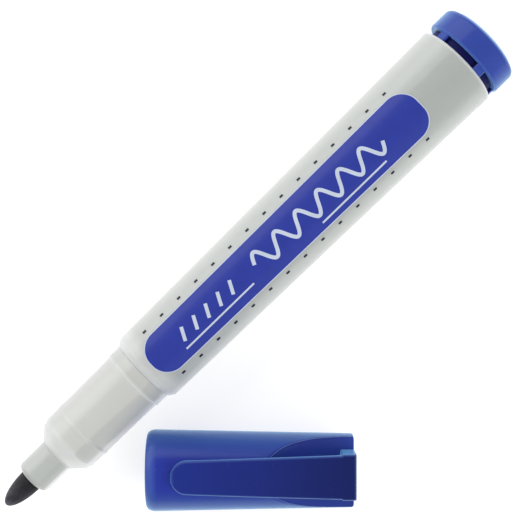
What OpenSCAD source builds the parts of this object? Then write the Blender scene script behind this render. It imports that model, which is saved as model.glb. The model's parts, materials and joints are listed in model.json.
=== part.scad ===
// Felt-tip marker with its cap lying beside it: a tapered translucent barrel, a front
// section that carries a bullet nib, a fibre reservoir, a pull-out end plug, and a cap
// with a long clip over a scooped top.
//
// Frame: the pen's axis is X, with the nib towards -X. The origin is on that axis, at the
// barrel's front step, where the cap's mouth stops. +Z is up and is the side of the label
// and the clip. The cap lies in the plane Z = 0 at an angle to the pen.

/* [Nib and front section] */
// Diameter of the felt nib
nib_d = 4.7; // [3.6:0.1:4.8]
// Length of felt that stands out of the nose
nib_out = 7.1; // [5:0.1:8]
// Outside diameter of the nose around the nib
nose_d = 7.4; // [6.6:0.1:8]
// Length of the nose, from its rim back to the shoulder
nose_len = 7.1; // [5:0.1:9]
// Length of the sloping shoulder behind the nose
shoulder_len = 3.8; // [3:0.1:5]
// Outside diameter of the neck at the shoulder
neck_front_d = 12.7; // [12.2:0.1:12.9]
// Outside diameter of the neck where it meets the collar
neck_rear_d = 13.1; // [12.9:0.1:13.3]
// Length of the neck, from the shoulder to the collar
neck_len = 16.9; // [14:0.1:20]
// Diameter of the collar that the cap's mouth grips
collar_d = 13.5; // [13.4:0.05:13.6]
// Length of the collar
collar_len = 3.1; // [2:0.1:4]

/* [Barrel] */
// Outside diameter just behind the front step
barrel_front_d = 15.4; // [15:0.1:16]
// Outside diameter at the rear rim
barrel_rear_d = 17.8; // [17.2:0.1:18.4]
// Length from the front step to the rear rim
barrel_len = 86; // [82:1:90]
// Wall thickness of the barrel and the neck
wall = 1.2; // [1:0.1:1.3]
// Number of ribs in the barrel that centre the reservoir
rib_count = 6; // [4:1:8]

/* [End plug] */
// Diameter of the plug's head
plug_d = 17.9; // [17.2:0.1:18.4]
// Height of the head's straight side, with its rounded edges
plug_side = 5.0; // [4:0.1:6]
// How far the head's end is domed
plug_dome = 0.9; // [0.5:0.1:1.5]
// Gap between the barrel's rim and the head
plug_gap = 1.6; // [1.2:0.1:2]
// Diameter of the plug's stem in the barrel
stem_d = 15.14; // [15.1:0.01:15.18]
// Number of lugs that hold the gap open
lug_count = 5; // [4:1:8]

/* [Ink store] */
// Diameter of the fibre rod
rod_d = 9.8; // [9:0.1:9.8]
// Length of the fibre rod
rod_len = 92; // [80:1:92]
// Thickness of the film around the rod
film_t = 0.1; // [0.1:0.05:0.15]

/* [Printing] */
// Length of the printed panel
panel_len = 71.4; // [60:0.2:72]
// Width of the panel at its front, straight across
panel_front_w = 8.3; // [7.8:0.1:9]
// Width of the panel at its rear, straight across
panel_rear_w = 9.7; // [9:0.1:11]
// Corner radius of the panel
panel_r = 3.8; // [3:0.1:3.8]
// Angle from the top to the middle of the panel, towards -Y
panel_turn = 2.4; // [0:0.1:10]
// Number of dashes in each row
dash_count = 15; // [10:1:15]
// Distance from one dash to the next
dash_pitch = 4.64; // [4.2:0.02:4.7]
// Thickness of the printed film
print_t = 0.08; // [0.06:0.01:0.12]
// Number of crests in the label's wave
wave_crests = 6; // [4:1:8]
// Width of the wave's stroke
wave_stroke = 0.75; // [0.5:0.05:1]

/* [Cap] */
// Length of the cap
cap_len = 40.5; // [40.5:0.5:44]
// Outside diameter at the mouth
cap_mouth_d = 16.0; // [16:0.1:16.6]
// Outside diameter at the closed end
cap_end_d = 14.4; // [14.2:0.1:15]
// Diameter of the bore that slides over the neck and grips the collar
cap_bore_d = 13.7; // [13.65:0.05:13.8]
// Radius of the scoop in the cap's top
scoop_r = 32.2; // [30:0.1:34]
// Height of the scoop's floor above the cap's axis at the closed end
scoop_floor = 2.2; // [2.2:0.1:2.6]
// Width of the clip at its free tip
clip_tip_w = 6.5; // [6:0.1:7]
// Width of the clip at its root
clip_root_w = 8.4; // [8:0.1:8.6]

/* [Cap beside the pen] */
// Angle between the cap and the pen
cap_angle = 44.25; // [40:0.25:60]
// Place along the pen where the two axes cross, counted from the cap's seat
cap_cross_x = -28.3; // [-32:0.1:-26]
// Distance from the point where the two axes cross to the cap's mouth
cap_away = 20.9; // [20:0.1:30]

/* [Hidden] */
$fn = 96;

// Places along the pen, counted from the cap's seat
neck_rear_x = -collar_len;
neck_front_x = neck_rear_x - neck_len;
nose_rear_x = neck_front_x - shoulder_len;
nose_front_x = nose_rear_x - nose_len;
nib_tip_x = nose_front_x - nib_out;
rod_front_x = neck_front_x + 3;
plug_front_x = barrel_len + plug_gap;

// Front section
nib_r = nib_d / 2;
nose_r = nose_d / 2;
nose_round = 1.2;
shoulder_r = nose_r + 0.2;
bead_x = neck_front_x + 3.3;
bead_h = 0.12;
spigot_len = 12;
spigot_gap = 0.02;
nib_in_rod = 4;
vent_count = 3;
vent_w = 0.6;
vent_depth = 0.4;

// Barrel
front_r = barrel_front_d / 2;
rear_r = barrel_rear_d / 2;
chamfer_len = 1.1;
rim_round = 0.5;
front_bore_r = front_r - wall;
socket_r = 7.6;
socket_len = 12;
rib_t = 0.8;

// Plug
plug_r = plug_d / 2;
stem_r = stem_d / 2;
stem_len = 10;
stem_wall = 1.1;
lug_w = 2.4;
lug_turn = 26;
lug_r = 8.45;

// Printing
print_gap = 0.04;
panel_x = 2.6;
wave_x = 30;
wave_len = 34;
wave_h = 1.9;
band_w = 0.35;
dash_x = 5.8;
dash_size = [0.8, 0.5];
dash_turns = [-42, 46];

// Cap, counted from its mouth
mouth_r = cap_mouth_d / 2;
end_r = cap_end_d / 2;
bore_r = cap_bore_d / 2;
bore_len = 20.4;
skin_t = 0.9;
sleeve_r = 4.9;
core_r = 6.0;
post_t = 2.8;
post_w = 8.8;
hinge_t = cap_len - post_t;
hinge_z = 8.9;
clip_half_t = 0.9;
clip_tip_t = 5;
seat_gap = 0.04;

// Radius of the barrel's tapered outside at x
function barrel_r(x) = front_r + (rear_r - front_r) * x / barrel_len;

// A point on the label's wave, for a share s of its length, moved off it by off
function wave_point(s, off) =
    let (slope = wave_h * cos(360 * wave_crests * s) * 2 * PI * wave_crests / wave_len)
    [wave_x + wave_len * s, wave_h * sin(360 * wave_crests * s)] + off * [-slope, 1] / norm([slope, 1]);

// Points along an arc about c, from angle a to angle b
function arc(c, r, a, b, n = 8) =
    [for (i = [0:n]) c + r * [cos(a + (b - a) * i / n), sin(a + (b - a) * i / n)]];

// Turns an outline of [distance along the axis, radius] about the X axis
module turned(outline) {
    rotate([0, 90, 0]) rotate_extrude() polygon([for (p = outline) [p[1], p[0]]]);
}

// A round bar on the X axis, from a to b
module bar(r, a, b) {
    translate([a, 0, 0]) rotate([0, 90, 0]) cylinder(r = r, h = b - a);
}

// Puts its children, drawn along X with the mouth at zero, where the cap lies
module at_cap() {
    translate([cap_cross_x, 0, 0])
        rotate([0, 0, -cap_angle])
            translate([cap_away, 0, 0]) children();
}

// A printed film around the barrel's tapered outside, from a to b, at a height above it
module barrel_skin(a, b, lift) {
    low = lift;
    high = lift + print_t;
    turned([[a, barrel_r(a) + low], [b, barrel_r(b) + low],
            [b, barrel_r(b) + high], [a, barrel_r(a) + high]]);
}

// ---- Pen ----

module barrel() {
    socket_x = barrel_len - socket_len;
    color([0.84, 0.85, 0.82, 0.75]) {
        turned(concat(
            [[0, front_bore_r], [0, collar_d / 2 + 0.15], [chamfer_len, barrel_r(chamfer_len)]],
            arc([barrel_len - rim_round, rear_r - rim_round], rim_round, 90, 0, 6),
            [[barrel_len, socket_r], [socket_x, socket_r], [socket_x, barrel_r(socket_x) - wall],
             [spigot_len, front_bore_r]]));
        barrel_ribs();
    }
}

// Ribs inside the barrel, cut back to leave room for the wrapped rod
module barrel_ribs() {
    rib_from = spigot_len + 2;
    rib_to = barrel_len - socket_len - 4;
    intersection() {
        turned([[rib_from, rod_d / 2 + film_t + 0.05],
                [rib_to, rod_d / 2 + film_t + 0.05],
                [rib_to, barrel_r(rib_to) - wall / 2],
                [rib_from, barrel_r(rib_from) - wall / 2]]);
        for (i = [0:rib_count - 1])
            rotate([i * 360 / rib_count + 20, 0, 0])
                translate([rib_from - 1, -rib_t / 2, 0])
                    cube([rib_to - rib_from + 2, rib_t, rear_r]);
    }
}

module front_section() {
    spigot_r = front_bore_r - spigot_gap;
    neck_bore_r = rod_d / 2 + film_t + 0.1;
    color([0.82, 0.83, 0.80, 0.8])
        difference() {
            turned(concat(
                [[nose_front_x, 0]],
                arc([nose_front_x + nose_round, nose_r - nose_round], nose_round, 180, 90, 6),
                [[nose_rear_x, nose_r], [nose_rear_x, shoulder_r],
                 [nose_rear_x + 2.4, neck_front_d / 2 - 0.35]],
                arc([neck_front_x, neck_front_d / 2 - 1.2], 1.2, 125, 90, 4),
                [[bead_x - 0.5, neck_front_d / 2 + 0.06],
                 [bead_x, neck_front_d / 2 + 0.06 + bead_h],
                 [bead_x + 0.5, neck_front_d / 2 + 0.08],
                 [neck_rear_x, neck_rear_d / 2], [neck_rear_x + 0.1, collar_d / 2],
                 [0, collar_d / 2], [0, spigot_r], [spigot_len - 0.6, spigot_r],
                 [spigot_len, spigot_r - 0.4], [spigot_len, 0]]));
            bar(nib_r, nose_front_x - 1, rod_front_x + 1);
            bar(neck_bore_r, rod_front_x, spigot_len + 1);
            for (i = [0:vent_count - 1])
                rotate([i * 360 / vent_count, 0, 0])
                    translate([nose_front_x - 1, -vent_w / 2, 0])
                        cube([rod_front_x - nose_front_x + 1.5, vent_w, nib_r + vent_depth]);
        }
}

module nib() {
    color([0.10, 0.09, 0.13])
        turned(concat(
            [for (a = [0:9:90]) [nose_front_x - nib_out * cos(a), nib_r * sin(a)]],
            [[rod_front_x + nib_in_rod, nib_r], [rod_front_x + nib_in_rod, 0]]));
}

module reservoir() {
    color([0.20, 0.20, 0.48])
        difference() {
            bar(rod_d / 2, rod_front_x, rod_front_x + rod_len);
            bar(nib_r, rod_front_x - 1, rod_front_x + nib_in_rod);
        }
}

module reservoir_wrap() {
    color([0.85, 0.86, 0.88])
        difference() {
            bar(rod_d / 2 + film_t, rod_front_x, rod_front_x + rod_len);
            bar(rod_d / 2, rod_front_x - 1, rod_front_x + rod_len + 1);
        }
}

module end_plug() {
    head_rear = plug_front_x + plug_side;
    color([0.22, 0.28, 0.65]) {
        difference() {
            turned(concat(
                [[barrel_len - stem_len, 0], [barrel_len - stem_len, stem_r - 0.4],
                 [barrel_len - stem_len + 0.6, stem_r], [plug_front_x, stem_r]],
                arc([plug_front_x + 0.4, plug_r - 0.4], 0.4, 180, 90, 4),
                arc([head_rear - 1.0, plug_r - 1.0], 1.0, 90, 8, 6),
                [for (i = [1:5]) [head_rear + plug_dome * sin(i * 18), (plug_r - 1.0) * cos(i * 18)]]));
            bar(stem_r - stem_wall, barrel_len - stem_len - 1, head_rear - 1.2);
        }
        intersection() {
            turned([[barrel_len, stem_r - 0.5], [plug_front_x + 0.2, stem_r - 0.5],
                    [plug_front_x + 0.2, lug_r], [barrel_len, lug_r]]);
            for (i = [0:lug_count - 1])
                rotate([i * 360 / lug_count + lug_turn, 0, 0])
                    translate([barrel_len - 1, -lug_w / 2, 0]) cube([plug_gap + 2, lug_w, plug_r]);
        }
    }
}

// ---- Printing on the barrel ----

module label_panel() {
    front = panel_x + panel_r;
    rear = panel_x + panel_len - panel_r;
    front_h = panel_front_w / 2 - panel_r;
    rear_h = panel_rear_w / 2 - panel_r;
    color([0.19, 0.24, 0.59])
        intersection() {
            barrel_skin(panel_x - 1, panel_x + panel_len + 1, print_gap);
            rotate([panel_turn, 0, 0])
                linear_extrude(height = rear_r + 1)
                    offset(r = panel_r, $fn = 64)
                        polygon([[front, -front_h], [rear, -rear_h], [rear, rear_h], [front, front_h]]);
        }
}

// A wave, a row of short slanted bars and two thin bands, in place of any wording
module label_graphic() {
    color([0.90, 0.92, 0.96])
        intersection() {
            barrel_skin(panel_x, panel_x + panel_len, 2 * print_gap + print_t);
            rotate([panel_turn, 0, 0])
                linear_extrude(height = rear_r + 1) {
                    wave();
                    short_bars(10, 5, 3.2);
                    translate([9.5, -2.6]) square([18, band_w]);
                    translate([45, -3.5]) square([17, band_w]);
                }
        }
}

// The wave's stroke
module wave() {
    steps = 12 * wave_crests;
    polygon(concat([for (i = [0:steps]) wave_point(i / steps, wave_stroke / 2)],
                   [for (i = [steps:-1:0]) wave_point(i / steps, -wave_stroke / 2)]));
}

// A row of slanted bars
module short_bars(from, count, pitch) {
    for (i = [0:count - 1])
        translate([from + i * pitch, 0])
            polygon([[0, -1.2], [0.8, -1.2], [2.1, 1.3], [1.3, 1.3]]);
}

module label_dashes() {
    last_x = dash_x + (dash_count - 1) * dash_pitch;
    color([0.12, 0.13, 0.22])
        intersection() {
            barrel_skin(dash_x - 2, last_x + 2, print_gap);
            for (turn = dash_turns, i = [0:dash_count - 1])
                rotate([turn, 0, 0])
                    translate([dash_x + i * dash_pitch, 0, rear_r])
                        cube([dash_size[0], dash_size[1], 4], center = true);
        }
}

// ---- Cap ----

// Everything above the scoop's floor; extra moves the floor down, to leave a skin under it
module scoop(extra = 0) {
    translate([cap_len, 0, scoop_floor + scoop_r])
        rotate([90, 0, 0]) cylinder(r = scoop_r + extra, h = 30, center = true, $fn = 180);
}

module cap_shell() {
    color([0.18, 0.22, 0.58]) {
        difference() {
            turned(concat(
                [[0, 0], [0, bore_r]],
                arc([0.9, mouth_r - 0.9], 0.9, 180, 90, 6),
                arc([cap_len - 0.4, end_r - 0.4], 0.4, 90, 0, 4),
                [[cap_len, 0]]));
            scoop();
            cap_inside();
        }
        clip_post();
    }
}

// The straight bore, the tapered seat for the shoulder, and the hollows for nose and nib
module cap_inside() {
    nose_t = -nose_rear_x;
    rim_t = -nose_front_x;
    tip_t = -nib_tip_x;
    turned([[-1, 0], [-1, bore_r], [bore_len, bore_r], [nose_t + 0.4, nose_r + 0.5],
            [nose_t + 1, nose_r + 0.15], [rim_t - 1.3, nose_r + 0.15],
            [rim_t - 0.5, nose_r - 0.1], [rim_t + 0.3, nose_r - 0.8],
            [rim_t + 0.3, nib_r + 0.3], [rim_t + 2.6, nib_r + 0.3],
            [rim_t + 5.1, nib_r - 0.2], [tip_t, 1.3], [tip_t + 0.6, 0.6], [tip_t + 0.6, 0]]);
    difference() {
        turned([[bore_len + 0.6, sleeve_r], [bore_len + 0.6, core_r],
                [cap_len - 6, core_r], [cap_len - 6, sleeve_r]]);
        scoop(skin_t);
    }
}

// The post at the closed end that carries the clip over the scoop
module clip_post() {
    difference() {
        intersection() {
            translate([hinge_t, -post_w / 2, 0]) cube([post_t, post_w, hinge_z + clip_half_t]);
            turned([[0, 0], [0, 20], [cap_len - 0.3, 20], [cap_len, 19.7], [cap_len, 0]]);
        }
        translate([hinge_t, 0, hinge_z])
            rotate([90, 0, 0]) cylinder(r = clip_half_t + seat_gap, h = 20, center = true);
        translate([0, -10, -10]) cube([cap_len + 1, 20, 10 + scoop_floor - 0.5]);
    }
}

module cap_clip() {
    tip_r = clip_tip_w / 2;
    color([0.15, 0.18, 0.48])
        intersection() {
            translate([0, 10, 0])
                rotate([90, 0, 0])
                    linear_extrude(height = 20)
                        polygon(concat(
                            arc([hinge_t, hinge_z], clip_half_t, -90, 90, 12),
                            [[24, 10.15], [12, 10.2], [clip_tip_t + 0.9, 9.95], [clip_tip_t, 9.3],
                             [clip_tip_t + 0.1, 8.75], [clip_tip_t + 1.2, 8.3],
                             [clip_tip_t + 3.2, 8.15], [clip_tip_t + 5, 8.5],
                             [clip_tip_t + 7, 8.62]]));
            linear_extrude(height = 20)
                hull() {
                    translate([clip_tip_t + tip_r, 0]) circle(r = tip_r, $fn = 48);
                    translate([hinge_t, -clip_root_w / 2]) square([clip_half_t, clip_root_w]);
                }
        }
}

barrel();
front_section();
nib();
reservoir();
reservoir_wrap();
end_plug();
label_panel();
label_graphic();
label_dashes();
at_cap() cap_shell();
at_cap() cap_clip();
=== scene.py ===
"""Looks of an uncapped felt-tip marker and its clip cap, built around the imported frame.

Lengths in the shape tables are in millimetres. The pen lies along X with its nib towards -X;
the cap is drawn along its own axis, from its mouth, and moved to the place of its bore.
"""
import json
import math

import bmesh
import bpy
from mathutils import Matrix, Vector


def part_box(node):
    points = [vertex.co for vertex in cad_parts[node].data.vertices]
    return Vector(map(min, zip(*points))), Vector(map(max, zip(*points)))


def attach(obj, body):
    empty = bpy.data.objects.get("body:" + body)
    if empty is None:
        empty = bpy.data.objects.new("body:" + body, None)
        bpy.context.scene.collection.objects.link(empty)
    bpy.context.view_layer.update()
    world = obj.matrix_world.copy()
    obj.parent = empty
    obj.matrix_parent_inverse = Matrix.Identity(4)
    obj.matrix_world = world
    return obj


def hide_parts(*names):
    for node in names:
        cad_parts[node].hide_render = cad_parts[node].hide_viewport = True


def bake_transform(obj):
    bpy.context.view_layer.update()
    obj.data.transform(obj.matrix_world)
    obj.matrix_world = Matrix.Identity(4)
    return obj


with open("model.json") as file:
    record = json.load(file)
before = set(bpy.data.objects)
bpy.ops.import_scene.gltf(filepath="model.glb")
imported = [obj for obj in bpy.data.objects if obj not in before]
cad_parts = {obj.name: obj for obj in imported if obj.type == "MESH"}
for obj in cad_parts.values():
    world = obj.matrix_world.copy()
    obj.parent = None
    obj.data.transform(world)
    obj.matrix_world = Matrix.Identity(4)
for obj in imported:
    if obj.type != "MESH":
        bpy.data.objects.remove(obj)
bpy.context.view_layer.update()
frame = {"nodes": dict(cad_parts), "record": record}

MM = 0.001
RECORD = frame["record"]
MOUNTS = {m["name"]: m for m in RECORD["mounts"]}


def in_mm(node):
    """The node's lowest and highest corner, in millimetres."""
    low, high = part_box(node)
    return Vector(low) / MM, Vector(high) / MM


# ---- Sizes, in millimetres ----

NIB_LOW, NIB_HIGH = in_mm("nib")
FRONT_LOW, FRONT_HIGH = in_mm("front_section")
BARREL_HIGH = in_mm("barrel")[1]
PLUG_LOW, PLUG_HIGH = in_mm("end_plug")

NIB_TIP = NIB_LOW.x
NIB_R = NIB_HIGH.z
NIB_GAP = 0.04
NOSE_RIM = FRONT_LOW.x
NOSE_R = 3.7
NOSE_BACK = NOSE_RIM + 7.1
NECK_FRONT = NOSE_BACK + 3.8
NECK_FRONT_R = 6.35
NECK_REAR_R = 6.55
COLLAR_FRONT = -3.1
COLLAR_R = MOUNTS["cap_seat"]["dims"]["r_mm"]
BEAD_X = NECK_FRONT + 3.3
SPIGOT_END = FRONT_HIGH.x
SPIGOT_R = 6.48
NECK_BORE_R = 5.1

BARREL_FRONT_R = 7.7
BARREL_REAR_R = BARREL_HIGH.z
BARREL_LEN = BARREL_HIGH.x
BARREL_WALL = 1.2
SOCKET_R = 7.6
SOCKET_LEN = 12

STEM_R = 7.57
STEM_WALL = 1.1
STEM_FRONT = PLUG_LOW.x
HEAD_FRONT = BARREL_LEN + 1.6
HEAD_REAR = HEAD_FRONT + 5.0
HEAD_R = PLUG_HIGH.z
HEAD_END = PLUG_HIGH.x
LUG_COUNT = 5
LUG_TURN = 26
LUG_W = 2.4
LUG_R = 8.45

CAP_MOUTH = Vector(MOUNTS["cap_mouth"]["pos_m"])
CAP_END = Vector(MOUNTS["cap_end"]["pos_m"])
CAP_LEN = (CAP_END - CAP_MOUTH).xy.length / MM
CAP_MOUTH_R = 8.0
CAP_END_R = 7.2
CAP_BORE_R = MOUNTS["cap_mouth"]["dims"]["r_mm"]
CAP_BORE_LEN = MOUNTS["cap_mouth"]["dims"]["length_mm"]
# The sleeve around the nose, then the space for the nib: (distance from the mouth, radius).
CAP_CORE = [(24.2, 4.2), (24.8, 3.85), (29.6, 3.85), (30.4, 3.6), (31.2, 2.9), (31.2, 2.45),
            (33.5, 2.45), (36, 1.95), (38, 1.3), (38.6, 0.6), (38.6, 0.0)]
SCOOP_R = 32.2
SCOOP_FLOOR = 2.2
SCOOP_START = 23.2
CLIP_TIP = 5.0
CLIP_TIP_R = 3.25
CLIP_ROOT_R = 4.2
POST_T = CAP_LEN - 2.8
POST_R = 4.4

# The print: a panel with strokes on it, and two rows of dashes.
PANEL = {"start": 2.6, "end": 74.0, "front_half": 4.15, "rear_half": 4.85, "corner": 3.8}
PANEL_TURN = 2.4
OUTLINE_W = 0.2
WAVE = {"start": 30, "length": 34, "height": 1.9, "crests": 6}
BAR_START, BAR_PITCH, BAR_INSET, BAR_COUNT = 10, 3.2, 0.4, 5
BAR = {"lean": 1.3, "low": -1.2, "rise": 2.5}
BANDS = [(9.5, 27.5, -2.42), (45, 62, -3.32)]  # start, end, distance across
WAVE_W, BAR_W, BAND_W = 0.75, 0.7, 0.35
DASH_TURNS = (-42, 46)
DASH_X, DASH_PITCH, DASH_COUNT = 5.8, 4.64, 15
DASH_SHAPE = [(-0.4, 0.2), (-0.3, 0.25), (0.3, 0.25), (0.4, 0.2)]  # along, half width
OUTLINE_LIFT, DASH_LIFT, PANEL_LIFT, STROKE_LIFT = 0.05, 0.07, 0.09, 0.12
PRINT_SUNK = 0.03


# ---- Mesh helpers ----

def arc(centre, radius, start, end, steps=6):
    """Points along an arc, with its angles in degrees."""
    made = []
    for i in range(steps + 1):
        a = math.radians(start + (end - start) * i / steps)
        made.append((centre[0] + radius * math.cos(a), centre[1] + radius * math.sin(a)))
    return made


def add_object(name, mesh, material, body, nodes=()):
    """Links a finished mesh, smooth-shaded, as a piece. It rides on a body when one is given."""
    mesh.normal_update()
    data = bpy.data.meshes.new(name)
    mesh.to_mesh(data)
    mesh.free()
    piece = bpy.data.objects.new(name, data)
    bpy.context.scene.collection.objects.link(piece)
    data.materials.append(material)
    for face in data.polygons:
        face.use_smooth = True
    data.set_sharp_from_angle(angle=math.radians(40))
    if body:
        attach(piece, body)
    if nodes:
        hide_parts(*nodes)
    return piece


def rings(mesh, outline, shape, segments):
    """Bridges rings of points into a surface. An outline point at radius zero becomes a pole."""
    previous = None
    for t, radius in outline:
        if radius < 1e-6:
            ring = [mesh.verts.new(shape(t, 0.0, 0.0))]
        else:
            ring = [mesh.verts.new(shape(t, radius, 2 * math.pi * i / segments))
                    for i in range(segments)]
        if previous:
            join_rings(mesh, previous, ring)
        previous = ring


def join_rings(mesh, a, b):
    """Faces between two rings, either of which may be a single pole."""
    count = max(len(a), len(b))
    if count == 1:
        return
    for i in range(count):
        j = (i + 1) % count
        corners = [a[i % len(a)], a[j % len(a)], b[j % len(b)], b[i % len(b)]]
        unique = list(dict.fromkeys(corners))
        mesh.faces.new(unique)


def on_pen(x, radius, angle):
    """A point on the pen, at an angle from the top towards -Y."""
    return Vector((x, -radius * math.sin(angle), radius * math.cos(angle))) * MM


def turned(outline, segments=160, closed=False):
    """A mesh turned about the pen's axis from (x, radius) points; closed joins last to first."""
    mesh = bmesh.new()
    points = list(outline) + ([outline[0]] if closed else [])
    rings(mesh, points, on_pen, segments)
    bmesh.ops.remove_doubles(mesh, verts=mesh.verts, dist=1e-7)
    bmesh.ops.recalc_face_normals(mesh, faces=mesh.faces)
    return mesh


def loft(mesh, loops):
    """A closed solid through loops of points, all of the same count."""
    made = [[mesh.verts.new(p) for p in loop] for loop in loops]
    for a, b in zip(made, made[1:]):
        join_rings(mesh, a, b)
    mesh.faces.new(made[0])
    mesh.faces.new(reversed(made[-1]))


def between(points, t):
    """Straight-line interpolation in a table of (t, value)."""
    if t <= points[0][0]:
        return points[0][1]
    for (t0, v0), (t1, v1) in zip(points, points[1:]):
        if t <= t1:
            return v0 + (v1 - v0) * (t - t0) / (t1 - t0)
    return points[-1][1]


# ---- Materials ----

MILKY = {"Subsurface_Weight": 0.25, "Subsurface_Scale": 0.002,
         "Subsurface_Radius": (1.0, 1.0, 0.95), "Coat_Weight": 0.45,
         "Coat_Roughness": 0.09, "IOR": 1.49, "Sheen_Weight": 0.25, "Sheen_Roughness": 0.35}
# Directions on the pen: away from the cap, towards it, and the middle of a painted shade stripe on
# the neck.
FAR_SIDE, CAP_SIDE = (0, 1, 0), (0, -1, 0)
SHADE_STRIPE_SIDE = (0, -0.64, 0.77)


def new_material(name, colour, roughness, **sockets):
    """A Principled material, its node tree and its shader. Constants go on the shader's sockets."""
    material = bpy.data.materials.new(name)
    material.use_nodes = True
    tree = material.node_tree
    shader = tree.nodes["Principled BSDF"]
    shader.inputs["Base Color"].default_value = (*colour, 1)
    shader.inputs["Roughness"].default_value = roughness
    for socket, value in sockets.items():
        shader.inputs[socket.replace("_", " ")].default_value = value
    return material, tree, shader


def noise(tree, scale, detail=4.0, stretch=(1, 1, 1)):
    """The value of a noise texture in object space, at scale features per metre."""
    where = tree.nodes.new("ShaderNodeTexCoord")
    mapping = tree.nodes.new("ShaderNodeMapping")
    mapping.inputs["Scale"].default_value = stretch
    texture = tree.nodes.new("ShaderNodeTexNoise")
    texture.inputs["Scale"].default_value = scale
    texture.inputs["Detail"].default_value = detail
    tree.links.new(where.outputs["Object"], mapping.inputs["Vector"])
    tree.links.new(mapping.outputs["Vector"], texture.inputs["Vector"])
    return texture.outputs["Fac"]


def ramp(tree, source, stops):
    """A colour ramp fed by source, with stops of (place, colour)."""
    node = tree.nodes.new("ShaderNodeValToRGB")
    elements = node.color_ramp.elements
    while len(elements) < len(stops):
        elements.new(0.5)
    for element, (place, colour) in zip(elements, stops):
        element.position = place
        element.color = (*colour, 1)
    tree.links.new(source, node.inputs["Fac"])
    return node.outputs["Color"]


def grey(value):
    return (value, value, value)


def tinted(colour, factor):
    """The colour made lighter or darker by a factor."""
    return tuple(min(1.0, c * factor) for c in colour)


def vary(tree, shader, colour, amount, scale, stretch=(1, 1, 1)):
    """Slight, cloudy variation of the base colour."""
    clouds = noise(tree, scale, 3.0, stretch)
    stops = [(0.35, tinted(colour, 1 - amount)), (0.65, tinted(colour, 1 + amount))]
    tree.links.new(ramp(tree, clouds, stops), shader.inputs["Base Color"])


def faintly_clouded(tree, colour, darkest, scale, stretch=(1, 1, 1)):
    """Another node's colour, darkened here and there, at most to a share of itself."""
    clouds = noise(tree, scale, 3.0, stretch)
    faint = ramp(tree, clouds, [(0.35, grey(darkest)), (0.65, grey(1.0))])
    return blended(tree, "MULTIPLY", 1.0, colour, faint)


def rough_patches(tree, shader, low, high, scale, stretch=(1, 1, 1)):
    """Handling marks: the roughness wanders between low and high."""
    patches = noise(tree, scale, 6.0, stretch)
    level = ramp(tree, patches, [(0.3, grey(low)), (0.7, grey(high))])
    tree.links.new(level, shader.inputs["Roughness"])


def bumps(tree, shader, strength, scale, distance=0.0001, stretch=(1, 1, 1), detail=4.0):
    """Fine surface relief."""
    relief = noise(tree, scale, detail, stretch)
    bump = tree.nodes.new("ShaderNodeBump")
    bump.inputs["Strength"].default_value = strength
    bump.inputs["Distance"].default_value = distance
    tree.links.new(relief, bump.inputs["Height"])
    tree.links.new(bump.outputs["Normal"], shader.inputs["Normal"])


def along_axis(tree, start, end):
    """A value from 0 to 1 for how far a place lies on the line from start to end, in metres."""
    where = tree.nodes.new("ShaderNodeTexCoord")
    offset = tree.nodes.new("ShaderNodeVectorMath")
    offset.operation = "SUBTRACT"
    offset.inputs[1].default_value = start
    share = tree.nodes.new("ShaderNodeVectorMath")
    share.operation = "DOT_PRODUCT"
    line = Vector(end) - Vector(start)
    share.inputs[1].default_value = line / line.length_squared
    tree.links.new(where.outputs["Object"], offset.inputs[0])
    tree.links.new(offset.outputs["Vector"], share.inputs[0])
    return share.outputs["Value"]


def colours_along(tree, start, end, stops):
    """Colours along the pen from x = start to x = end, with stops of (x, colour)."""
    share = along_axis(tree, (start * MM, 0, 0), (end * MM, 0, 0))
    return ramp(tree, share, [((x - start) / (end - start), colour) for x, colour in stops])


def blended(tree, mode, factor, first, second):
    """Two colours mixed; the factor is a number or another node's output."""
    mix = tree.nodes.new("ShaderNodeMixRGB")
    mix.blend_type = mode
    if isinstance(factor, float):
        mix.inputs["Fac"].default_value = factor
    else:
        tree.links.new(factor, mix.inputs["Fac"])
    for socket, source in (("Color1", first), ("Color2", second)):
        if isinstance(source, tuple):
            mix.inputs[socket].default_value = (*source, 1)
        else:
            tree.links.new(source, mix.inputs[socket])
    return mix.outputs["Color"]


def facing(tree, directions, stops):
    """A value by how far the surface faces one of some directions in the object's own frame."""
    where = tree.nodes.new("ShaderNodeTexCoord")
    nearest = None
    for direction in directions:
        dot = tree.nodes.new("ShaderNodeVectorMath")
        dot.operation = "DOT_PRODUCT"
        dot.inputs[1].default_value = direction
        tree.links.new(where.outputs["Normal"], dot.inputs[0])
        if nearest is None:
            nearest = dot.outputs["Value"]
        else:
            larger = tree.nodes.new("ShaderNodeMath")
            larger.operation = "MAXIMUM"
            tree.links.new(nearest, larger.inputs[0])
            tree.links.new(dot.outputs["Value"], larger.inputs[1])
            nearest = larger.outputs["Value"]
    return ramp(tree, nearest, [(place, grey(value)) for place, value in stops])


def side_tones(tree, colour, sides):
    """The colour turned to another one on some sides, for painted light and shade; each a
    (direction, colour, stops).
    """
    for direction, other, stops in sides:
        colour = blended(tree, "MIX", facing(tree, [direction], stops), colour, other)
    return colour


def milky_surface(tree, shader):
    """Faint marks and flow lines along the pen."""
    rough_patches(tree, shader, 0.29, 0.36, 260, (0.3, 1, 1))
    bumps(tree, shader, 0.12, 2600, 0.00005, (0.08, 1, 1))


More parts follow.
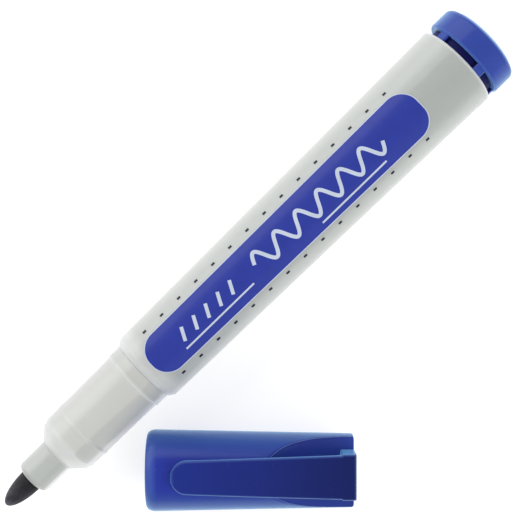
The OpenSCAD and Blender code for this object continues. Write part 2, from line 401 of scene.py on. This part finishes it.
def clear_plastic():
    """The barrel's milky polypropylene, paler over the neck's spigot, with painted highlights at
    its ends and painted light on its sides.
    """
    colour = (0.462, 0.482, 0.452)
    pale = (0.70, 0.71, 0.69)
    backed = (0.62, 0.63, 0.60)
    material, tree, shader = new_material("milky_plastic", colour, 0.3, **MILKY)
    # Painted highlights: the pale stops at the front and rear rims.
    stops = [(0.0, pale), (0.9, pale), (1.5, backed), (2.6, backed), (4.5, colour),
             (BARREL_LEN - 0.7, colour), (BARREL_LEN - 0.35, pale)]
    along = colours_along(tree, 0, BARREL_LEN, stops)
    mixed = faintly_clouded(tree, along, 0.95, 90, (0.25, 1, 1))
    # Painted light: both sides turn pale where they face +Y or -Y.
    shaded = side_tones(tree, mixed, [(FAR_SIDE, pale, [(0.42, 0.0), (0.55, 0.25), (1.0, 0.35)]),
                                      (CAP_SIDE, pale, [(0.6, 0.0), (0.9, 0.2), (1.0, 0.35)])])
    tree.links.new(shaded, shader.inputs["Base Color"])
    milky_surface(tree, shader)
    return material


def front_plastic():
    """The same plastic, thinner, stained by ink at the nose, with painted highlights at its
    shoulder, bead and collar ring, painted shade just behind the collar, a painted shade stripe
    along one side, painted light on the cap's side and painted shade on the far side.
    """
    clean = (0.655, 0.655, 0.61)
    pale = (0.73, 0.74, 0.71)
    ring = (0.67, 0.68, 0.65)
    nose = (0.535, 0.55, 0.515)
    # Colour of the painted shade stripe along the neck.
    shade_stripe = (0.46, 0.475, 0.45)
    material, tree, shader = new_material("milky_front_plastic", clean, 0.3, **MILKY)
    # Painted highlights: pale at the shoulder and the collar ring, the ring colour at the bead;
    # painted shade just behind the collar.
    stops = [(NOSE_RIM, tinted(nose, 0.72)), (NOSE_RIM + 1.3, nose), (NOSE_BACK - 0.4, nose),
             (NOSE_BACK + 0.4, pale), (NECK_FRONT - 0.6, pale), (NECK_FRONT + 0.6, clean),
             (BEAD_X - 0.5, clean), (BEAD_X, ring), (BEAD_X + 0.5, clean),
             (COLLAR_FRONT - 0.5, clean), (COLLAR_FRONT + 0.3, pale),
             (COLLAR_FRONT + 0.9, tinted(clean, 0.9)), (-0.2, tinted(clean, 0.95))]
    along = colours_along(tree, NOSE_RIM, 0, stops)
    # Painted shade stripe, painted light on the cap's side, painted shade on the far side.
    shaded = side_tones(tree, along, [(SHADE_STRIPE_SIDE, shade_stripe, [(0.925, 0.0), (0.96, 0.5)]),
                                      (CAP_SIDE, grey(0.9), [(0.8, 0.0), (0.9, 0.6), (1.0, 0.9)]),
                                      (FAR_SIDE, grey(0.5), [(0.5, 0.0), (1.0, 0.6)])])
    tree.links.new(shaded, shader.inputs["Base Color"])
    milky_surface(tree, shader)
    return material


def gloss_plastic(name, roughness=0.22):
    """Moulded blue plastic with a soft gloss and small handling marks; its colour comes later."""
    material, tree, shader = new_material(
        name, grey(0.5), roughness, Coat_Weight=0.06, Coat_Roughness=0.1, IOR=1.45,
        Subsurface_Weight=0.1, Subsurface_Scale=0.002, Sheen_Weight=0.8, Sheen_Roughness=0.4)
    shader.inputs["Specular IOR Level"].default_value = 0.25
    shader.inputs["Sheen Tint"].default_value = (0.25, 0.65, 1.0, 1)
    rough_patches(tree, shader, roughness * 0.9, roughness * 1.25, 320)
    bumps(tree, shader, 0.05, 3000, 0.00004)
    return material, tree, shader


def lit_sides(tree, shader, base, edge, sides):
    """The base colour, turning to edge's colour as painted light on the sides."""
    mixed = blended(tree, "MIX", sides, base, edge)
    tree.links.new(faintly_clouded(tree, mixed, 0.94, 120), shader.inputs["Base Color"])


def cap_plastic(name, front, rear):
    """The cap's blue, with a painted highlight at its mouth, a second colour towards the closed end
    for painted shade on the clip and painted light on the scoop, and painted light on faces turned
    to the sides and along the axis.
    """
    lip_highlight = (0.050, 0.095, 0.42)
    # Painted light on faces turned to the sides and along the axis, and on the clip's edges.
    edge = (0.032, 0.084, 0.34)
    material, tree, shader = gloss_plastic(name)
    # A painted highlight at the mouth, then the colours towards the closed end.
    base = ramp(tree, along_axis(tree, CAP_MOUTH, CAP_END),
                [(0.0, lip_highlight), (0.02, lip_highlight), (0.05, front), (0.2, front), (1.0, rear)])
    along, beside = cap_frame().col[0].xyz, cap_frame().col[1].xyz
    sides = facing(tree, [beside, -beside, along, -along],
                   [(0.37, 0.0), (0.66, 0.5), (0.89, 1.0)])
    lit_sides(tree, shader, base, edge, sides)
    return material


def scoop_highlight_plastic():
    """A pale material on the scoop's arris, as a painted highlight."""
    colour = (0.085, 0.15, 0.46)
    material, tree, shader = new_material("cap_edge_highlight", colour, 0.3, Coat_Weight=0.2)
    vary(tree, shader, colour, 0.06, 300)
    bumps(tree, shader, 0.10, 3000, 0.00004)
    return material


def plug_plastic():
    """The plug's blue, with painted highlights at the two rims of its head and painted light on its
    sides.
    """
    blue = (0.034, 0.066, 0.37)
    rim = (0.065, 0.125, 0.50)
    edge = (0.075, 0.17, 0.48)
    material, tree, shader = gloss_plastic("plug_blue")
    # Painted highlights: the rim stops at the head's front and rear edges.
    stops = [(BARREL_LEN, blue), (HEAD_FRONT - 0.1, blue), (HEAD_FRONT, rim),
             (HEAD_FRONT + 0.1, rim), (HEAD_FRONT + 0.35, blue), (HEAD_REAR - 0.6, blue),
             (HEAD_REAR - 0.35, rim), (HEAD_REAR - 0.15, rim), (HEAD_REAR + 0.1, blue)]
    base = colours_along(tree, BARREL_LEN, HEAD_END, stops)
    # Painted light on the sides facing +Y and -Y.
    sides = facing(tree, [FAR_SIDE, CAP_SIDE], [(0.76, 0.0), (0.92, 0.3), (0.99, 1.0)])
    lit_sides(tree, shader, base, edge, sides)
    return material


def stem_plastic():
    """The plug's stem: blue where it fits the barrel, with painted shade in the groove by the head.
    """
    blue = (0.024, 0.046, 0.30)
    groove_shade = (0.006, 0.007, 0.085)
    material, tree, shader = new_material("plug_stem", blue, 0.5)
    shader.inputs["Specular IOR Level"].default_value = 0.1
    # Painted shade: dark navy in the groove by the head.
    stops = [(STEM_FRONT, blue), (BARREL_LEN - 1.6, blue), (BARREL_LEN - 0.1, groove_shade)]
    along = colours_along(tree, STEM_FRONT, HEAD_FRONT, stops)
    tree.links.new(faintly_clouded(tree, along, 0.85, 200), shader.inputs["Base Color"])
    bumps(tree, shader, 0.10, 3000, 0.00004)
    return material


def print_ink(name, colour):
    """Printed ink: thin, a little glossy, with a faint screen texture."""
    material, tree, shader = new_material(name, colour, 0.3, Coat_Weight=0.05, Coat_Roughness=0.1)
    shader.inputs["Specular IOR Level"].default_value = 0.25
    vary(tree, shader, colour, 0.04, 400)
    rough_patches(tree, shader, 0.28, 0.34, 900)
    bumps(tree, shader, 0.03, 6000, 0.00002)
    return material


def felt():
    """Ink-soaked pressed felt, with short fibres along the nib."""
    colour = (0.014, 0.013, 0.017)
    material, tree, shader = new_material(
        "inked_felt", colour, 0.7, Sheen_Weight=0.12, Sheen_Roughness=0.5)
    shader.inputs["Sheen Tint"].default_value = (0.55, 0.5, 0.7, 1)
    share = along_axis(tree, (NIB_TIP * MM, 0, 0), (NOSE_RIM * MM, 0, 0))
    worn = ramp(tree, share, [(0.0, (0.085, 0.08, 0.10)), (0.45, (0.03, 0.028, 0.036)),
                              (0.8, colour)])
    patches = noise(tree, 700, 5.0, (0.5, 1, 1))
    cloudy = ramp(tree, patches, [(0.38, grey(0.35)), (0.62, grey(1.0))])
    tree.links.new(blended(tree, "MULTIPLY", 0.9, worn, cloudy), shader.inputs["Base Color"])
    rough_patches(tree, shader, 0.55, 0.85, 1500, (0.2, 1, 1))
    bumps(tree, shader, 0.6, 7000, 0.0001, (0.2, 1, 1), 8.0)
    return material


def fibre():
    """Bonded-fibre rod soaked with ink."""
    colour = (0.02, 0.022, 0.11)
    material, tree, shader = new_material("inked_fibre", colour, 0.8)
    vary(tree, shader, colour, 0.4, 4000, (0.05, 1, 1))
    bumps(tree, shader, 0.5, 6000, 0.0001, (0.05, 1, 1), 8.0)
    return material


def film():
    """Clear film around the rod."""
    colour = (0.75, 0.77, 0.80)
    material, tree, shader = new_material("film", colour, 0.2, Coat_Weight=0.3)
    vary(tree, shader, colour, 0.03, 300)
    bumps(tree, shader, 0.1, 900, 0.0001)
    return material


# ---- Pen ----

def barrel_r(x):
    """Radius of the barrel's tapered outside at x."""
    return BARREL_FRONT_R + (BARREL_REAR_R - BARREL_FRONT_R) * x / BARREL_LEN


def make_barrel(material):
    """The tapered tube, with the plug's wider socket at its rear."""
    socket_x = BARREL_LEN - SOCKET_LEN
    outline = [(0.0, COLLAR_R - 0.2)]
    outline += arc((0.12, COLLAR_R + 0.22), 0.12, 180, 135, 3)
    outline += arc((1.25, barrel_r(1.25) - 0.45), 0.45, 125, 90, 4)
    outline += [(x, barrel_r(x)) for x in range(4, int(BARREL_LEN), 4)]
    outline += arc((BARREL_LEN - 0.55, BARREL_REAR_R - 0.55), 0.55, 90, 0, 8)
    outline += arc((BARREL_LEN - 0.2, SOCKET_R + 0.2), 0.2, 0, -90, 3)
    outline += [(socket_x, SOCKET_R), (socket_x - 0.1, barrel_r(socket_x) - BARREL_WALL),
                (SPIGOT_END, BARREL_FRONT_R - BARREL_WALL), (0.3, BARREL_FRONT_R - BARREL_WALL)]
    return add_object("barrel_tube", turned(outline, 192, closed=True), material,
                      "pen", ["barrel"])


def make_front(material):
    """Nose, shoulder, neck with its bead, collar and the spigot that sits in the barrel."""
    outline = [(NOSE_RIM + 2.0, NIB_R + NIB_GAP), (NOSE_RIM + 0.25, NIB_R + NIB_GAP)]
    outline += arc((NOSE_RIM + 0.25, NIB_R + 0.29), 0.25, -90, -180, 3)
    outline += arc((NOSE_RIM + 1.2, NOSE_R - 1.2), 1.2, 180, 90, 10)
    outline += [(NOSE_BACK - 0.25, NOSE_R)]
    outline += arc((NOSE_BACK - 0.25, NOSE_R + 0.25), 0.25, -90, 0, 4)
    outline += [(NOSE_BACK + 2.2, NECK_FRONT_R - 0.42)]
    outline += arc((NECK_FRONT, NECK_FRONT_R - 1.6), 1.6, 124, 90, 8)
    outline += [(BEAD_X - 0.9, NECK_FRONT_R + 0.03)]
    outline += [(BEAD_X + 0.1 * i, NECK_FRONT_R + 0.05 + 0.12 * math.cos(i * math.pi / 14) ** 2)
                for i in range(-7, 8)]
    outline += [(BEAD_X + 0.9, NECK_FRONT_R + 0.06), (COLLAR_FRONT - 0.12, NECK_REAR_R)]
    outline += arc((COLLAR_FRONT + 0.2, COLLAR_R - 0.14), 0.2, 180, 20, 8)
    outline += [(COLLAR_FRONT + 0.6, COLLAR_R), (-0.1, COLLAR_R), (0.2, SPIGOT_R),
                (SPIGOT_END - 0.6, SPIGOT_R), (SPIGOT_END, SPIGOT_R - 0.4),
                (SPIGOT_END, NECK_BORE_R), (NECK_FRONT + 3, NECK_BORE_R),
                (NECK_FRONT + 3, NIB_R + NIB_GAP)]
    return add_object("front_moulding", turned(outline, 192, closed=True), material,
                      "pen", ["front_section"])


def make_nib(material):
    """The felt bullet, with its hidden rear end."""
    length = NOSE_RIM - NIB_TIP
    outline = [(NOSE_RIM - length * math.cos(math.radians(a)), NIB_R * math.sin(math.radians(a)))
               for a in range(0, 90, 5)]
    outline += [(NOSE_RIM, NIB_R), (NIB_HIGH.x - 0.4, NIB_R), (NIB_HIGH.x, NIB_R - 0.4),
                (NIB_HIGH.x, 0.0)]
    return add_object("felt_nib", turned(outline, 96), material, "pen", ["nib"])


def make_plug(material, stem_material):
    """The hollow stem, the lugs around it and the domed head."""
    stem_bore = STEM_R - STEM_WALL
    outline = [(HEAD_REAR - 1.2, 0.0), (HEAD_REAR - 1.2, stem_bore), (STEM_FRONT, stem_bore),
               (STEM_FRONT, STEM_R - 0.4)]
    outline += arc((STEM_FRONT + 0.6, STEM_R - 0.5), 0.5, 150, 90, 3)
    outline += [(HEAD_FRONT - 0.15, STEM_R), (HEAD_FRONT, STEM_R + 0.15)]
    outline += arc((HEAD_FRONT + 0.4, HEAD_R - 0.4), 0.4, 180, 90, 6)
    outline += arc((HEAD_REAR - 1.1, HEAD_R - 1.1), 1.1, 90, 12, 10)
    dome = HEAD_END - HEAD_REAR
    outline += [(HEAD_REAR + dome * math.sin(math.radians(a)),
                 (HEAD_R - 1.05) * math.cos(math.radians(a))) for a in range(18, 90, 9)]
    outline += [(HEAD_END, 0.0)]
    mesh = turned(outline, 192)
    for i in range(LUG_COUNT):
        add_lug(mesh, math.radians(LUG_TURN + 360 * i / LUG_COUNT))
    plug = add_object("plug_moulding", mesh, material, "plug", ["end_plug"])
    # Stem faces take the stem material with its painted groove shade.
    plug.data.materials.append(stem_material)
    for face in plug.data.polygons:
        middle = face.center / MM
        if middle.x < HEAD_FRONT and middle.yz.length < STEM_R + 0.3:
            face.material_index = 1
    return plug


def add_lug(mesh, angle):
    """One rounded block between the barrel's rim and the plug's head."""
    half = LUG_W / 2
    low, edge = STEM_R - 0.3, 0.3
    side = [(-half, low), (-half, LUG_R - edge), (-half + edge, LUG_R), (half - edge, LUG_R),
            (half, LUG_R - edge), (half, low)]
    turn = Matrix.Rotation(angle, 3, "X")
    loops = [[turn @ (Vector((x, y, z)) * MM) for y, z in side]
             for x in (BARREL_LEN + 0.02, HEAD_FRONT + 0.3)]
    loft(mesh, loops)


# ---- Printing ----

def patch(mesh, stations, lift, turn):
    """A thin raised patch on the barrel. stations are (x, left, right), straight across; turn is
    the angle from the top towards -Y, in degrees."""
    columns = 14
    loops = []
    for x, left, right in stations:
        radius = barrel_r(x)
        top, under = [], []
        for i in range(columns + 1):
            across = left + (right - left) * i / columns
            angle = math.asin(across / radius) + math.radians(turn)
            top.append(on_pen(x, radius + lift, angle))
            under.append(on_pen(x, radius - PRINT_SUNK, angle))
        loops.append(top + under[::-1])
    loft(mesh, loops)


def tapered_panel(start, end, front_half, rear_half, corner, steps=10, grow=0.0):
    """Stations of a panel that widens towards the rear, with round corners. grow adds a margin."""
    a, b, c = start - grow, end + grow, corner + grow
    corners = []
    for i in range(steps + 1):
        angle = math.radians(4 + 86 * i / steps)
        corners.append((c * (1 - math.cos(angle)), c * (1 - math.sin(angle))))
    widths = [(a + inset, drop) for inset, drop in corners]
    widths += [(a + c + (b - a - 2 * c) * i / 24, 0.0) for i in range(1, 24)]
    widths += [(b - inset, drop) for inset, drop in reversed(corners)]
    made = []
    for x, drop in widths:
        half = grow + front_half + (rear_half - front_half) * (x - a) / (b - a) - drop
        made.append((x, -half, half))
    return made


def wave_points(start, length, height, crests):
    """Points of an even wave along the panel."""
    steps = 40 * crests
    return [(start + length * i / steps, height * math.sin(2 * math.pi * crests * i / steps))
            for i in range(steps + 1)]


def bar_points(x, lean, low, rise):
    """Points of a slanted bar, from its foot."""
    return [(x + lean * i / 8, low + rise * i / 8) for i in range(9)]


def band_points(start, end, across):
    """Points of a straight band along the panel."""
    return [(start + (end - start) * i / 30, across) for i in range(31)]


def make_label(blue, white, dark):
    """The panel with its fine pale outline, the plain graphic on it, and the rows of dashes."""
    outline = bmesh.new()
    patch(outline, tapered_panel(**PANEL, grow=OUTLINE_W), OUTLINE_LIFT, PANEL_TURN)
    add_object("label_outline", outline, white, "pen")
    panel = bmesh.new()
    patch(panel, tapered_panel(**PANEL), PANEL_LIFT, PANEL_TURN)
    add_object("label_print", panel, blue, "pen", ["label_panel"])
    graphic = bmesh.new()
    stroke(graphic, wave_points(**WAVE), WAVE_W)
    for i in range(BAR_COUNT):
        foot = BAR_START + BAR_PITCH * i + BAR_INSET
        stroke(graphic, bar_points(foot, **BAR), BAR_W)
    for band in BANDS:
        stroke(graphic, band_points(*band), BAND_W)
    add_object("label_wave", graphic, white, "pen", ["label_graphic"])
    dashes = bmesh.new()
    for turn in DASH_TURNS:
        for i in range(DASH_COUNT):
            x = DASH_X + i * DASH_PITCH
            stations = [(x + offset, -half, half) for offset, half in DASH_SHAPE]
            patch(dashes, stations, DASH_LIFT, turn)
    add_object("label_dash_rows", dashes, dark, "pen", ["label_dashes"])


def stroke(mesh, points, width):
    """A printed stroke on the panel through points of (x, distance across towards +Y)."""
    loops = []
    for i, (x, across) in enumerate(points):
        before, after = points[max(i - 1, 0)], points[min(i + 1, len(points) - 1)]
        along = Vector((after[0] - before[0], after[1] - before[1])).normalized()
        off = Vector((-along.y, along.x)) * width / 2
        edges = [(x + off.x, across + off.y), (x - off.x, across - off.y)]
        top = [on_panel(*edge, STROKE_LIFT) for edge in edges]
        under = [on_panel(*edge, 0.0) for edge in reversed(edges)]
        loops.append(top + under)
    loft(mesh, loops)


def on_panel(x, across, lift):
    """A point above the barrel, at a distance straight across from the panel's middle line."""
    radius = barrel_r(x)
    angle = math.asin(-across / radius) + math.radians(PANEL_TURN)
    return on_pen(x, radius + lift, angle)


# ---- Cap ----

def cap_frame():
    """The matrix that takes the cap's own axes (X from the mouth) to the part's frame."""
    along = -Vector(MOUNTS["cap_mouth"]["axis"]).normalized()
    up = Vector((0, 0, 1))
    side = up.cross(along)
    place = Matrix((along, side, up)).transposed().to_4x4()
    place.translation = CAP_MOUTH
    return place


def cap_r(t):
    """Radius of the cap's tapered outside at t."""
    return CAP_MOUTH_R + (CAP_END_R - CAP_MOUTH_R) * t / CAP_LEN


def scoop_height(t):
    """Height of the scoop's floor above the cap's axis."""
    return SCOOP_FLOOR + SCOOP_R - math.sqrt(max(0.0, SCOOP_R ** 2 - (t - CAP_LEN) ** 2))


def soft_min(a, b, blend):
    """The smaller of two lengths, with the corner between them rounded."""
    h = max(0.0, blend - abs(a - b)) / blend
    return min(a, b) - h * h * blend / 4


def on_cap_outside(t, radius, angle):
    """A point on the cap's outside, cut down to the scoop's floor on its upper side."""
    rise = math.cos(angle)
    if rise > 0.05:
        radius = soft_min(radius, scoop_height(t) / rise, 0.5) if radius > 0 else 0.0
    return Vector((t, -radius * math.sin(angle), radius * rise)) * MM


def make_cap_shell(material):
    """The cap's outside with its scoop, joined at the mouth to the bore and the core."""
    segments = 240
    mesh = bmesh.new()
    outside = [(CAP_LEN, 0.0)] + [(CAP_LEN, r) for r in (1.0, 1.8, 2.6, 3.4, 4.4, 5.4, 6.2)]
    outside += arc((CAP_LEN - 0.45, CAP_END_R - 0.45), 0.45, 0, 90, 6)
    steps = 170
    lip_long, lip_high = 1.7, 0.95
    wall_from, wall_to = CAP_LEN - 0.6, lip_long
    outside += [(wall_from + (wall_to - wall_from) * i / steps,
                 cap_r(wall_from + (wall_to - wall_from) * i / steps)) for i in range(steps + 1)]
    outside += [(lip_long * (1 - math.cos(a)), cap_r(lip_long) - lip_high * (1 - math.sin(a)))
                for a in [math.radians(84 - 7 * i) for i in range(13)]]
    inside = arc((0.2, CAP_BORE_R + 0.2), 0.2, 180, 270, 4)
    inside += [(CAP_BORE_LEN, CAP_BORE_R)] + CAP_CORE
    rings(mesh, outside, on_cap_outside, segments)
    rings(mesh, outside[-1:] + inside, on_pen, segments)
    bmesh.ops.remove_doubles(mesh, verts=mesh.verts, dist=2e-6)
    bmesh.ops.recalc_face_normals(mesh, faces=mesh.faces)
    mesh.transform(cap_frame())
    return add_object("cap_moulding", mesh, material, "cap", ["cap_shell"])


def make_scoop_edge_highlights(material):
    """A thin pale tube along the arris where the scoop meets the cap's round outside, on both
    sides, as a painted highlight.
    """
    end, thickness, inset, sunk = CAP_LEN - 0.45, 0.09, 0.05, 0.03
    steps, around = 60, 8
    mesh = bmesh.new()
    for side in (-1, 1):
        loops = []
        for i in range(steps + 1):
            t = SCOOP_START + (end - SCOOP_START) * i / steps
            height, radius = scoop_height(t), cap_r(t) - inset
            y = side * math.sqrt(max(0.0, radius ** 2 - height ** 2))
            angles = [2 * math.pi * j / around for j in range(around)]
            loops.append([Vector((t, y + thickness * math.cos(a),
                                  height - sunk + thickness * math.sin(a))) * MM for a in angles])
        loft(mesh, loops)
    bmesh.ops.recalc_face_normals(mesh, faces=mesh.faces)
    mesh.transform(cap_frame())
    return add_object("cap_scoop_edge_highlights", mesh, material, "cap")


# Heights of the clip above the cap's axis: (distance from the mouth, height).
CLIP_TOP = [(CLIP_TIP, 9.25), (5.25, 9.65), (5.7, 9.9), (7, 10.08), (12, 10.2), (24, 10.15),
            (POST_T, 9.8), (CAP_LEN - 0.4, 9.75), (CAP_LEN, 9.4)]
CLIP_UNDER = [(CLIP_TIP, 8.85), (5.3, 8.6), (6.2, 8.3), (8.2, 8.15), (10, 8.5), (12, 8.6),
              (POST_T - 1.6, 8.0), (POST_T - 0.9, 7.9), (POST_T - 0.45, 7.6),
              (POST_T - 0.15, 7.1), (POST_T, 6.3), (POST_T + 0.05, 1.9), (CAP_LEN, 1.9)]


def clip_half_width(t):
    """Half the clip's width at t: a round tip, a taper, then the wider post."""
    if t < CLIP_TIP + CLIP_TIP_R:
        return math.sqrt(max(0.0, CLIP_TIP_R ** 2 - (CLIP_TIP + CLIP_TIP_R - t) ** 2))
    share = (t - CLIP_TIP - CLIP_TIP_R) / (POST_T - CLIP_TIP - CLIP_TIP_R)
    if t <= POST_T:
        return CLIP_TIP_R + (CLIP_ROOT_R - CLIP_TIP_R) * share
    return between([(POST_T, CLIP_ROOT_R), (POST_T + 0.3, POST_R)], t)


def rounded_section(half, low, high, radius, steps=5):
    """A rectangle in (y, z) with round corners, as a loop of points."""
    radius = min(radius, half * 0.95, (high - low) * 0.48)
    made = []
    corners = [(half - radius, high - radius, 0), (-half + radius, high - radius, 90),
               (-half + radius, low + radius, 180), (half - radius, low + radius, 270)]
    for y, z, start in corners:
        made += arc((y, z), radius, start, start + 90, steps)
    return made


def make_clip(material):
    """The clip and its post in one sweep from the free tip to the cap's closed end."""
    near_tip = [CLIP_TIP + CLIP_TIP_R * (1 - math.cos(math.radians(a))) for a in range(8, 91, 6)]
    arm_from, root_from, edge_r = 8.6, POST_T - 1.4, 0.62
    arm_len = root_from - 9.2
    arm = [arm_from + arm_len * i / 46 for i in range(47)]
    root = [root_from + 0.1 * i for i in range(43)]
    mesh = bmesh.new()
    loops = []
    for t in near_tip + arm + root:
        section = rounded_section(clip_half_width(t), between(CLIP_UNDER, t),
                                  between(CLIP_TOP, t), edge_r)
        loops.append([Vector((t, y, z)) * MM for y, z in section])
    loft(mesh, loops)
    bmesh.ops.recalc_face_normals(mesh, faces=mesh.faces)
    place = cap_frame()
    mesh.transform(place)
    clip = add_object("clip_moulding", mesh, material, None, ["cap_clip"])
    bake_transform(clip)
    return clip


# ---- Stage ----

def make_floor():
    """A pale floor, leaning with the pen's taper so that the pen and the cap both touch it."""
    cap_x, cap_z = CAP_MOUTH.x / MM, in_mm("cap_shell")[0].z
    plug_x, plug_z = (PLUG_LOW.x + PLUG_HIGH.x) / 2, PLUG_LOW.z
    slope = (plug_z - cap_z) / (plug_x - cap_x)
    half, gap = 4000, 0.05
    mesh = bmesh.new()
    corners = [(-half, -half), (half, -half), (half, half), (-half, half)]
    mesh.faces.new([mesh.verts.new(Vector((x, y, cap_z + (x - cap_x) * slope - gap)) * MM)
                    for x, y in corners])
    data = bpy.data.meshes.new("floor")
    mesh.to_mesh(data)
    mesh.free()
    floor = bpy.data.objects.new("floor", data)
    bpy.context.scene.collection.objects.link(floor)
    material, tree, shader = new_material("pale_floor", grey(0.5), 0.9)
    vary(tree, shader, grey(0.5), 0.004, 12)
    shader.inputs["Emission Color"].default_value = (1, 1, 1, 1)
    shader.inputs["Emission Strength"].default_value = 0.7
    data.materials.append(material)


def make_camera():
    """Straight above the pen, turned so that the nib points down to the left."""
    share, beside, height, turn = 0.5278, 0.7, 264, -44.25
    x = NIB_TIP + (HEAD_END - NIB_TIP) * share
    data = bpy.data.cameras.new("camera")
    data.lens = 94.2
    data.sensor_width = 36
    data.clip_start, data.clip_end = 0.01, 10
    camera = bpy.data.objects.new("camera", data)
    camera.location = Vector((x, beside, height)) * MM
    camera.rotation_euler = (0, 0, math.radians(turn))
    bpy.context.scene.collection.objects.link(camera)
    bpy.context.scene.camera = camera


def area_light(name, place, target, size, power, glossy=True):
    """A rectangular light aimed at a target. It is left out of reflections if not glossy."""
    data = bpy.data.lights.new(name, "AREA")
    data.shape = "RECTANGLE"
    data.size, data.size_y = size
    data.energy = power
    light = bpy.data.objects.new(name, data)
    light.location = place
    light.visible_glossy = glossy
    aim = Vector(target) - Vector(place)
    light.rotation_euler = aim.to_track_quat("-Z", "Y").to_euler()
    bpy.context.scene.collection.objects.link(light)


def make_lights():
    """A softbox beyond the pen, a fill on the cap's side and a pale surround."""
    middle = (0.03, 0, 0)
    area_light("softbox", (0.03, 0.574, 0.305), middle, size=(1.0, 0.63), power=3.3)
    area_light("fill", (0.05, -0.57, 0.37), middle, size=(1.0, 0.45), power=2.8, glossy=False)
    world = bpy.data.worlds.new("studio")
    world.use_nodes = True
    background = world.node_tree.nodes["Background"]
    background.inputs["Color"].default_value = (0.94, 0.965, 1.0, 1)
    background.inputs["Strength"].default_value = 0.5
    bpy.context.scene.world = world
    bpy.context.scene.view_settings.view_transform = "Standard"


def dress_cad_nodes():
    """Hidden inner pieces keep their CAD shape, in their own materials."""
    for node, material in (("reservoir", fibre()), ("reservoir_wrap", film())):
        piece = frame["nodes"][node]
        piece.data.materials.clear()
        piece.data.materials.append(material)


def main():
    make_camera()
    make_barrel(clear_plastic())
    make_front(front_plastic())
    make_nib(felt())
    make_plug(plug_plastic(), stem_plastic())
    make_label(print_ink("label_blue", (0.027, 0.045, 0.34)),
               print_ink("label_white", (0.60, 0.66, 0.78)),
               print_ink("dash_dark", (0.015, 0.016, 0.035)))
    # The shell's colour towards the closed end is lighter: painted light on the scoop floor.
    make_cap_shell(cap_plastic("cap_blue", (0.020, 0.038, 0.36), (0.030, 0.058, 0.34)))
    make_scoop_edge_highlights(scoop_highlight_plastic())
    # The clip darkens towards its rear: painted shade.
    make_clip(cap_plastic("clip_blue", (0.011, 0.025, 0.25), (0.004, 0.009, 0.11)))
    dress_cad_nodes()
    make_floor()
    make_lights()


main()
